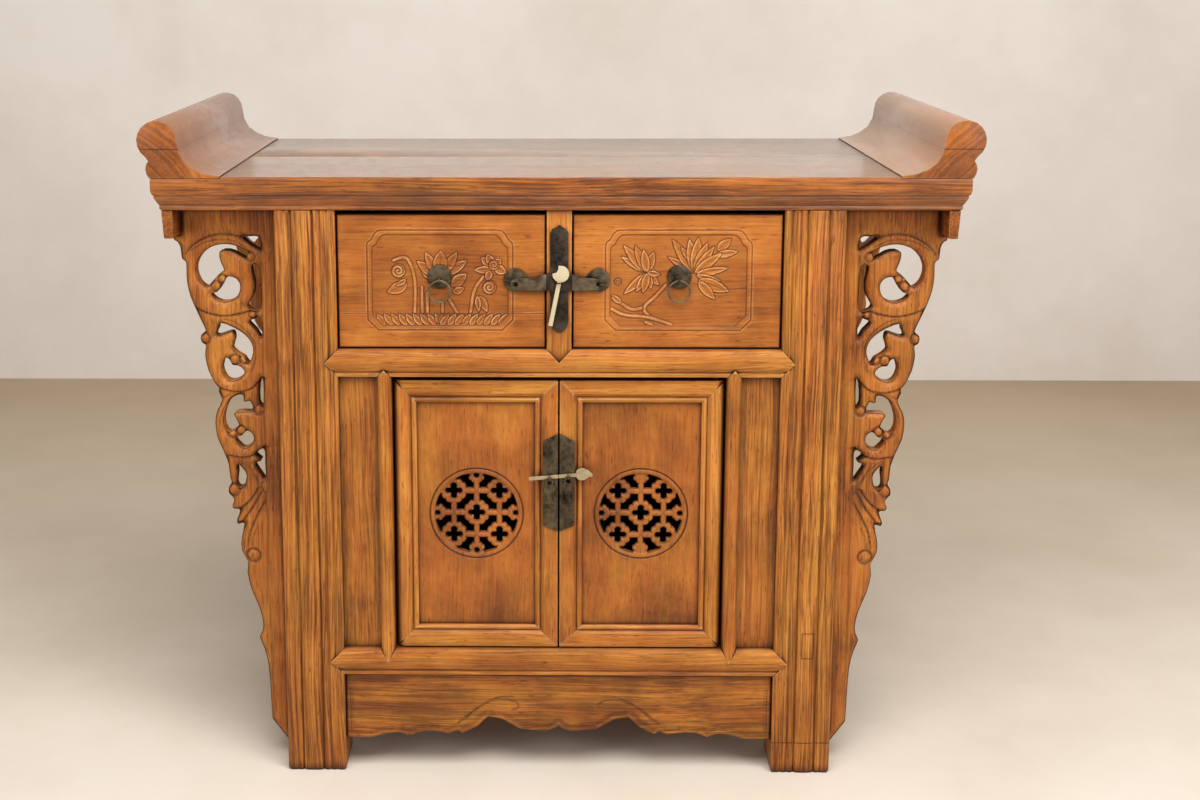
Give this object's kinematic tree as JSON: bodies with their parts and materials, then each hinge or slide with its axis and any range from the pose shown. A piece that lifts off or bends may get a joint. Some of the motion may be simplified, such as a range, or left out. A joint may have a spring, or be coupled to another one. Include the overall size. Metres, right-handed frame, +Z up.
{
  "type": "altar cabinet",
  "caption": "Wooden altar cabinet with scrolled end flanges, openwork carved brackets, carved drawers with ring pulls and pierced double doors with a lock pin.",
  "frame": {"origin": "middle of the footprint, on the floor", "axes": "+X to the right seen from the front, +Y to the back, +Z up"},
  "size_m": [1.0938, 0.49, 0.9038],
  "materials": {
    "frame_wood": "waxed, worn",
    "panel_wood": "waxed, darker",
    "dark_metal": "dark patina",
    "pale_brass": "rubbed bright"
  },
  "bodies": {
    "case": {"top_front_rail": "frame_wood", "top_board_middle": "frame_wood", "top_board_back": "frame_wood", "flange_left": "frame_wood", "flange_right": "frame_wood", "end_batten_left": "frame_wood", "end_batten_right": "frame_wood", "leg_front_left": "frame_wood", "leg_front_right": "frame_wood", "leg_back_left": "frame_wood", "leg_back_right": "frame_wood", "bracket_front_left": "frame_wood", "bracket_front_right": "frame_wood", "bracket_back_left": "frame_wood", "bracket_back_right": "frame_wood", "middle_rail": "frame_wood", "bottom_rail": "frame_wood", "drawer_divider": "frame_wood", "muntin_left": "frame_wood", "muntin_right": "frame_wood", "front_strip_left": "frame_wood", "front_strip_right": "frame_wood", "apron": "frame_wood", "side_panel_left": "panel_wood", "side_panel_right": "panel_wood", "side_rail_left": "frame_wood", "side_rail_right": "frame_wood", "back_panel": "panel_wood", "floor_board": "panel_wood", "drawer_board": "panel_wood", "lock_strap": "dark_metal"},
    "peg": {"lock_peg": "pale_brass"},
    "drawer_left": {"drawer_front_left": "frame_wood", "drawer_box_left": "panel_wood", "pull_plate_left": "dark_metal", "hasp_plate_left": "dark_metal"},
    "ring_left": {"pull_ring_left": "dark_metal"},
    "hasp_left": {"hasp_left": "dark_metal"},
    "door_left": {"door_hinge_stile_left": "frame_wood", "door_lock_stile_left": "frame_wood", "door_top_rail_left": "frame_wood", "door_low_rail_left": "frame_wood", "door_panel_left": "panel_wood", "door_plate_left": "dark_metal"},
    "drop_left": {"door_drop_left": "dark_metal"},
    "pin_tail": {"lock_pin_tail": "pale_brass"},
    "drawer_right": {"drawer_front_right": "frame_wood", "drawer_box_right": "panel_wood", "pull_plate_right": "dark_metal", "hasp_plate_right": "dark_metal"},
    "ring_right": {"pull_ring_right": "dark_metal"},
    "hasp_right": {"hasp_right": "dark_metal"},
    "door_right": {"door_hinge_stile_right": "frame_wood", "door_lock_stile_right": "frame_wood", "door_top_rail_right": "frame_wood", "door_low_rail_right": "frame_wood", "door_panel_right": "panel_wood", "door_plate_right": "dark_metal"},
    "drop_right": {"door_drop_right": "dark_metal"},
    "pin_head": {"lock_pin_head": "pale_brass"}
  },
  "joints": [
    {"name": "peg_draw", "type": "slide", "parent": "case", "child": "peg", "axis": [0.1938, 0, 0.981], "range_m": [0, 0.065]},
    {"name": "drawer_left_slide", "type": "slide", "parent": "case", "child": "drawer_left", "axis": [0, -1, 0], "range_m": [0, 0.3]},
    {"name": "ring_left_swing", "type": "hinge", "parent": "drawer_left", "child": "ring_left", "pos_m": [-0.1577, -0.2335, 0.6925], "axis": [-1, 0, 0], "range_deg": [0, 105]},
    {"name": "hasp_left_swing", "type": "hinge", "parent": "drawer_left", "child": "hasp_left", "pos_m": [-0.0625, -0.2333, 0.6881], "axis": [0, 0, -1], "range_deg": [0, 150]},
    {"name": "door_left_hinge", "type": "hinge", "parent": "case", "child": "door_left", "pos_m": [-0.2094, -0.214, 0.3685], "axis": [0, 0, -1], "range_deg": [0, 92]},
    {"name": "drop_left_swing", "type": "hinge", "parent": "door_left", "child": "drop_left", "pos_m": [-0.0125, -0.23248, 0.42187], "axis": [-1, 0, 0], "range_deg": [0, 80]},
    {"name": "pin_tail_draw", "type": "slide", "parent": "door_left", "child": "pin_tail", "axis": [-0.996, 0, -0.0899], "range_m": [0, 0.03]},
    {"name": "drawer_right_slide", "type": "slide", "parent": "case", "child": "drawer_right", "axis": [0, -1, 0], "range_m": [0, 0.3]},
    {"name": "ring_right_swing", "type": "hinge", "parent": "drawer_right", "child": "ring_right", "pos_m": [0.1577, -0.2335, 0.6925], "axis": [-1, 0, 0], "range_deg": [0, 105]},
    {"name": "hasp_right_swing", "type": "hinge", "parent": "drawer_right", "child": "hasp_right", "pos_m": [0.0565, -0.2333, 0.6881], "axis": [0, 0, 1], "range_deg": [0, 150]},
    {"name": "door_right_hinge", "type": "hinge", "parent": "case", "child": "door_right", "pos_m": [0.2094, -0.214, 0.3685], "axis": [0, 0, 1], "range_deg": [0, 92]},
    {"name": "drop_right_swing", "type": "hinge", "parent": "door_right", "child": "drop_right", "pos_m": [0.0125, -0.23248, 0.42413], "axis": [-1, 0, 0], "range_deg": [0, 80]},
    {"name": "pin_head_draw", "type": "slide", "parent": "door_right", "child": "pin_head", "axis": [0.996, 0, 0.0899], "range_m": [0, 0.03]}
  ]
}
